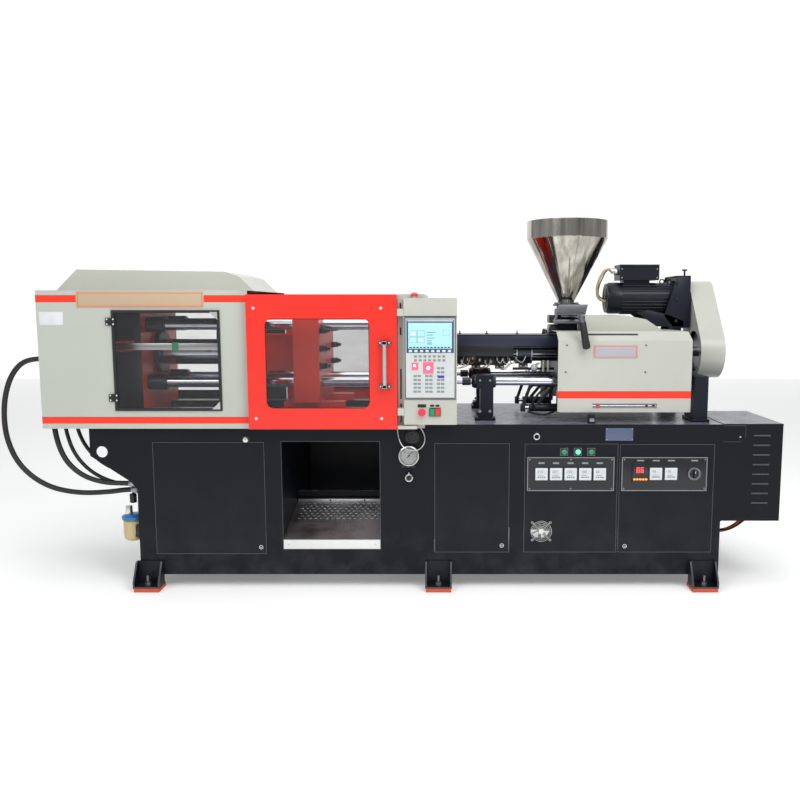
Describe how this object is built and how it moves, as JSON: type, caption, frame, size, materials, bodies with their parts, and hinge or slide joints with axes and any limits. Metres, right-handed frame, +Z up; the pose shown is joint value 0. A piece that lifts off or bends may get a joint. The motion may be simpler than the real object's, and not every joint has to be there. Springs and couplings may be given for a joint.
{
  "type": "injection moulding machine",
  "caption": "Horizontal injection moulding machine with a clamp under covers, sliding gates, a hopper-fed screw unit, a swinging control panel and a steel bed with doors.",
  "frame": {"origin": "on the floor under the middle of the machine without its hoses", "axes": "+X from the clamp end to the injection end, +Y to the back, +Z up"},
  "size_m": [4.548, 1.252, 2.175],
  "materials": {
    "bed_paint": "satin black-blue coat",
    "pad_rubber": "matt",
    "cover_paint": "satin grey coat",
    "gate_paint": "gloss red coat",
    "casting_paint": "satin red coat on castings",
    "dark_paint": "satin dark coat",
    "chromed_steel": "hard chrome",
    "machined_steel": "turned",
    "tray_metal": "rolled",
    "handle_metal": "satin",
    "clear_sheet": "clear",
    "black_plastic": "matt",
    "instrument_plastic": "fine grain",
    "gauge_metal": "satin",
    "needle_black": "matt",
    "button_red": "gloss",
    "button_green": "gloss",
    "belt_rubber": "matt",
    "hose_rubber": "satin"
  },
  "bodies": {
    "machine_bed": {"bed_frame": "bed_paint", "foot_brackets": "bed_paint", "foot_pads": "pad_rubber", "drop_chute": "tray_metal", "pressure_gauge": "gauge_metal", "side_cabinet": "bed_paint", "clamp_cover": "cover_paint", "roof_cover": "cover_paint", "gate_frame": "cover_paint", "rear_platen": "casting_paint", "fixed_platen": "casting_paint", "tie_bars": "chromed_steel", "tie_bar_nuts": "machined_steel", "clamp_cylinder": "dark_paint", "rod_columns": "dark_paint", "guide_rods": "chromed_steel", "hose_fittings": "machined_steel", "outer_hose": "hose_rubber", "front_hose": "hose_rubber", "middle_hose": "hose_rubber", "inner_hose": "hose_rubber"},
    "service_door": {"service_door": "bed_paint"},
    "middle_door": {"middle_door": "bed_paint"},
    "heater_door": {"heater_door": "bed_paint", "heater_panel": "instrument_plastic"},
    "drive_door": {"drive_door": "bed_paint"},
    "fan_rotor": {"fan_rotor": "black_plastic"},
    "selector_switch": {"selector_switch": "black_plastic"},
    "gauge_needle": {"gauge_needle": "needle_black"},
    "clamp_window": {"clamp_window": "black_plastic", "window_pane": "clear_sheet"},
    "front_gate": {"front_gate": "gate_paint", "front_gate_pane": "clear_sheet", "front_gate_handle": "handle_metal"},
    "rear_gate": {"rear_gate": "gate_paint", "rear_gate_pane": "clear_sheet", "rear_gate_handle": "handle_metal"},
    "moving_platen": {"moving_platen": "casting_paint", "clamp_ram": "chromed_steel"},
    "ejector": {"ejector": "dark_paint"},
    "carriage": {"carriage": "dark_paint", "barrel": "machined_steel", "heater_bands": "machined_steel", "barrel_cover": "dark_paint", "hopper": "chromed_steel", "hopper_base": "dark_paint", "injection_hood": "cover_paint", "drive_motor": "dark_paint", "motor_bracket": "dark_paint", "drive_belt": "belt_rubber", "belt_guard": "cover_paint"},
    "hopper_slide": {"hopper_slide": "machined_steel"},
    "screw": {"screw": "machined_steel", "screw_pulley": "machined_steel"},
    "motor_pulley": {"motor_pulley": "machined_steel"},
    "control_panel": {"control_panel": "cover_paint", "panel_screen": "instrument_plastic"},
    "stop_button": {"stop_button": "button_red"},
    "start_button": {"start_button": "button_green"},
    "halt_button": {"halt_button": "button_red"}
  },
  "joints": [
    {"name": "service_door_hinge", "type": "hinge", "parent": "machine_bed", "child": "service_door", "pos_m": [-1.523, -0.5025, 0.538], "axis": [0, 0, -1], "range_deg": [0, 100]},
    {"name": "middle_door_hinge", "type": "hinge", "parent": "machine_bed", "child": "middle_door", "pos_m": [0.113, -0.5025, 0.54], "axis": [0, 0, -1], "range_deg": [0, 100]},
    {"name": "heater_door_hinge", "type": "hinge", "parent": "machine_bed", "child": "heater_door", "pos_m": [0.637, -0.5025, 0.5385], "axis": [0, 0, -1], "range_deg": [0, 100]},
    {"name": "drive_door_hinge", "type": "hinge", "parent": "machine_bed", "child": "drive_door", "pos_m": [1.743, -0.5025, 0.537], "axis": [0, 0, 1], "range_deg": [0, 100]},
    {"name": "fan_spin", "type": "hinge", "parent": "heater_door", "child": "fan_rotor", "pos_m": [0.74, -0.471, 0.343], "axis": [0, 1, 0], "continuous": true},
    {"name": "selector_turn", "type": "hinge", "parent": "drive_door", "child": "selector_switch", "pos_m": [1.625, -0.509, 0.686], "axis": [0, 1, 0], "range_deg": [-45, 45]},
    {"name": "gauge_needle_turn", "type": "hinge", "parent": "machine_bed", "child": "gauge_needle", "pos_m": [-0.033, -0.529, 0.796], "axis": [0, 1, 0], "range_deg": [-175, 95]},
    {"name": "clamp_window_hinge", "type": "hinge", "parent": "machine_bed", "child": "clamp_window", "pos_m": [-1.711, -0.5435, 1.3455], "axis": [0, 0, -1], "range_deg": [0, 110]},
    {"name": "front_gate_slide", "type": "slide", "parent": "machine_bed", "child": "front_gate", "axis": [-1, 0, 0], "range_m": [0, 0.69]},
    {"name": "rear_gate_slide", "type": "slide", "parent": "machine_bed", "child": "rear_gate", "axis": [-1, 0, 0], "range_m": [0, 0.69]},
    {"name": "clamp_stroke", "type": "slide", "parent": "machine_bed", "child": "moving_platen", "axis": [1, 0, 0], "range_m": [0, 0.27]},
    {"name": "ejector_stroke", "type": "slide", "parent": "moving_platen", "child": "ejector", "axis": [1, 0, 0], "range_m": [0, 0.08]},
    {"name": "carriage_slide", "type": "slide", "parent": "machine_bed", "child": "carriage", "axis": [1, 0, 0], "range_m": [-0.05, 0.15]},
    {"name": "hopper_slide_pull", "type": "slide", "parent": "carriage", "child": "hopper_slide", "axis": [0, -1, 0], "range_m": [0, 0.07]},
    {"name": "screw_spin", "type": "hinge", "parent": "carriage", "child": "screw", "pos_m": [1, 0, 1.368], "axis": [1, 0, 0], "continuous": true},
    {"name": "motor_spin", "type": "hinge", "parent": "carriage", "child": "motor_pulley", "pos_m": [1.7, 0.2, 1.705], "axis": [1, 0, 0], "continuous": true},
    {"name": "panel_swing", "type": "hinge", "parent": "machine_bed", "child": "control_panel", "pos_m": [-0.057, -0.587, 1.343], "axis": [0, 0, -1], "range_deg": [0, 90]},
    {"name": "stop_press", "type": "slide", "parent": "control_panel", "child": "stop_button", "axis": [0, 1, 0], "range_m": [0, 0.006], "stiffness_N_per_m": 600},
    {"name": "start_press", "type": "slide", "parent": "control_panel", "child": "start_button", "axis": [0, 1, 0], "range_m": [0, 0.004], "stiffness_N_per_m": 600},
    {"name": "halt_press", "type": "slide", "parent": "control_panel", "child": "halt_button", "axis": [0, 1, 0], "range_m": [0, 0.004], "stiffness_N_per_m": 600}
  ],
  "couplings": [
    {"joint": "motor_spin", "follows": "screw_spin", "ratio": 2}
  ]
}
